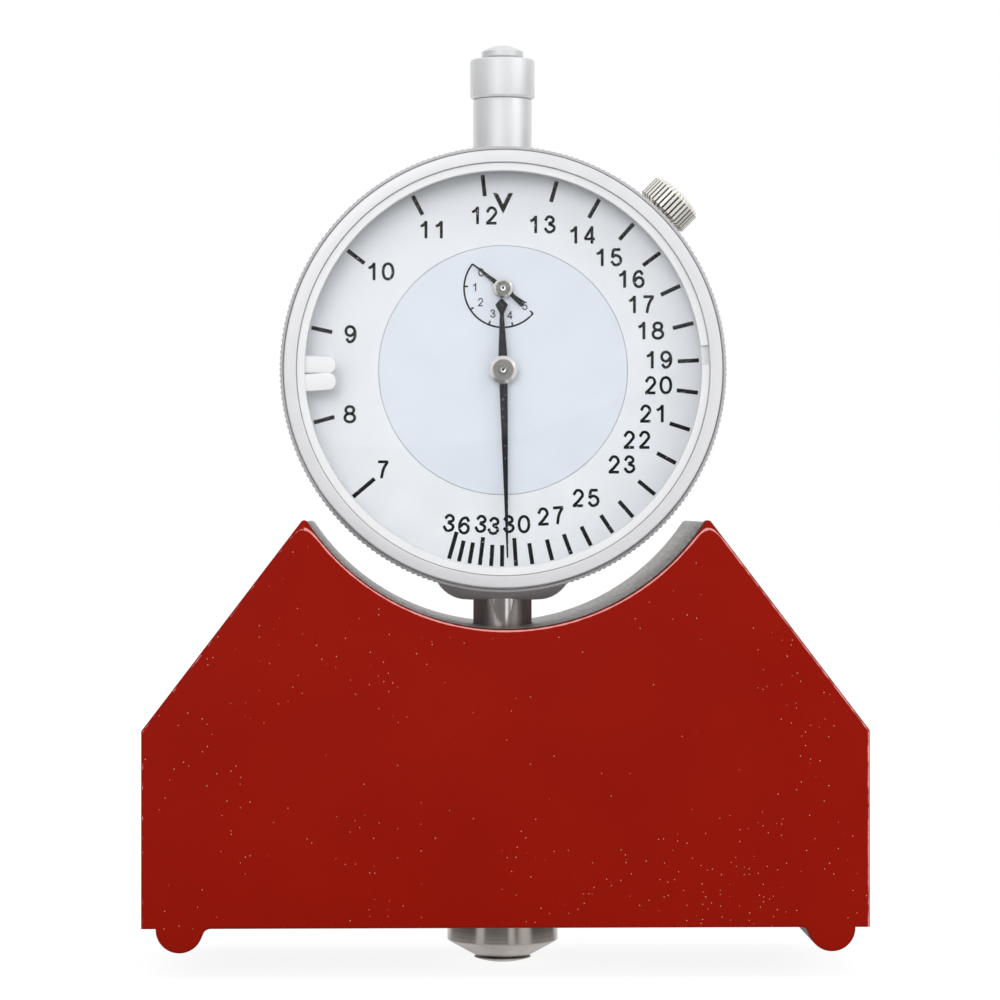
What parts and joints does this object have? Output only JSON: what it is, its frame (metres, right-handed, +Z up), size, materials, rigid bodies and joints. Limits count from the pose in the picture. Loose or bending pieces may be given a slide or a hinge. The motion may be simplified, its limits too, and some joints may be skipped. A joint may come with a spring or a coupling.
{
  "type": "screen tension meter",
  "caption": "Dial gauge clamped in a red-faced metal block on rounded noses: a stretched mesh pushes the sprung plunger up, and the hand shows its tension.",
  "frame": {"origin": "the lowest point of the measuring tip, on the axis that the plunger, the stem and the spindle share, midway between the block's sides and between its front and back faces", "axes": "+Z is up, along the spindle; the dial and the red plate face -Y; +X is to the right as the dial is read"},
  "size_m": [0.096, 0.038, 0.1255],
  "materials": {
    "block_aluminium": "bare machined aluminium, warm grey",
    "red_plate": "red anodised plate with worn edges",
    "ground_steel": "ground and turned steel",
    "spring_steel": "drawn spring wire",
    "brass": "plain turned brass",
    "bronze": "bearing bronze",
    "case_metal": "matt die-cast case",
    "satin_chrome": "satin chrome plate",
    "nickel": "bright nickel plate",
    "dial_white": "white printed dial ring",
    "dial_pale_blue": "pale printed inner dial",
    "limit_white": "white enamelled spring ring",
    "hand_black": "black enamel",
    "clear_glass": "clear crystal"
  },
  "bodies": {
    "block_and_case": {"body_block": "block_aluminium", "front_plate": "red_plate", "plate_screw_1": "ground_steel", "plate_screw_2": "ground_steel", "plate_screw_3": "ground_steel", "plate_screw_4": "ground_steel", "stem_clamp_screw": "ground_steel", "plunger_guide_bush": "bronze", "spring_adjuster": "brass", "main_spring": "spring_steel", "gauge_case": "case_metal", "back_cover": "case_metal", "cover_screw_1": "ground_steel", "cover_screw_2": "ground_steel", "cover_screw_3": "ground_steel", "cover_screw_4": "ground_steel", "gauge_stem": "ground_steel", "upper_sleeve": "satin_chrome", "sleeve_cap": "satin_chrome", "front_movement_plate": "brass", "rear_movement_plate": "brass", "pillar_1": "brass", "pillar_2": "brass", "pillar_3": "brass", "rack_bridge": "brass", "spindle_guide": "brass", "return_spring": "spring_steel", "return_spring_post": "ground_steel", "hairspring": "bronze", "inner_dial": "dial_pale_blue"},
    "plunger": {"plunger_tip": "ground_steel", "measuring_plunger": "ground_steel", "plunger_stop_ring": "spring_steel"},
    "gauge_spindle": {"spindle": "ground_steel", "contact_point": "ground_steel", "spindle_button": "satin_chrome", "spindle_guide_pin": "ground_steel"},
    "centre_arbor": {"centre_pinion": "ground_steel", "large_hand": "hand_black", "large_hand_hub": "nickel"},
    "takeup_wheel": {"takeup_gear": "brass", "takeup_arbor": "ground_steel", "small_hand": "hand_black", "small_hand_hub": "nickel"},
    "rack_wheel": {"rack_gear": "brass", "rack_pinion": "ground_steel"},
    "outer_bezel": {"bezel": "satin_chrome", "crystal": "clear_glass", "dial_ring": "dial_white"},
    "lower_limit": {"limit_ring_front": "limit_white"},
    "upper_limit": {"limit_ring_rear": "limit_white"},
    "knob": {"lock_knob": "nickel"}
  },
  "joints": [
    {"name": "probe_slide", "type": "slide", "parent": "block_and_case", "child": "plunger", "axis": [0, 0, 1], "range_m": [0, 0.005], "stiffness_N_per_m": 500, "springref_m": -0.002, "deforming": ["main_spring"]},
    {"name": "spindle_slide", "type": "slide", "parent": "block_and_case", "child": "gauge_spindle", "axis": [0, 0, 1], "range_m": [0, 0.005], "stiffness_N_per_m": 80, "springref_m": -0.008, "deforming": ["return_spring"]},
    {"name": "centre_spin", "type": "hinge", "parent": "block_and_case", "child": "centre_arbor", "pos_m": [0, 0, 0.08045], "axis": [0.0209, 0.9998, 0], "range_deg": [0, 1800]},
    {"name": "takeup_spin", "type": "hinge", "parent": "block_and_case", "child": "takeup_wheel", "pos_m": [0, 0, 0.09139], "axis": [0.0209, 0.9998, 0], "range_deg": [-180, 0]},
    {"name": "rack_gear_spin", "type": "hinge", "parent": "block_and_case", "child": "rack_wheel", "pos_m": [-0.00318, 0.00007, 0.06998], "axis": [0.0209, 0.9998, 0], "range_deg": [-180, 0]},
    {"name": "bezel_turn", "type": "hinge", "parent": "block_and_case", "child": "outer_bezel", "pos_m": [0, 0, 0.08045], "axis": [0.0209, 0.9998, 0], "continuous": true},
    {"name": "lower_limit_turn", "type": "hinge", "parent": "outer_bezel", "child": "lower_limit", "pos_m": [0, 0, 0.08045], "axis": [0.0209, 0.9998, 0], "range_deg": [-150, 0]},
    {"name": "upper_limit_turn", "type": "hinge", "parent": "outer_bezel", "child": "upper_limit", "pos_m": [0, 0, 0.08045], "axis": [0.0209, 0.9998, 0], "range_deg": [0, 150]},
    {"name": "lock_turn", "type": "hinge", "parent": "block_and_case", "child": "knob", "pos_m": [-0.0001, -0.0046, 0.08045], "axis": [0.7045, -0.0148, 0.7096], "range_deg": [0, 180]}
  ],
  "couplings": [
    {"joint": "spindle_slide", "follows": "probe_slide", "ratio": 1},
    {"joint": "centre_spin", "follows": "probe_slide", "rad_per_m": 6283.2},
    {"joint": "takeup_spin", "follows": "probe_slide", "rad_per_m": -628.32},
    {"joint": "rack_gear_spin", "follows": "probe_slide", "rad_per_m": -628.32}
  ]
}
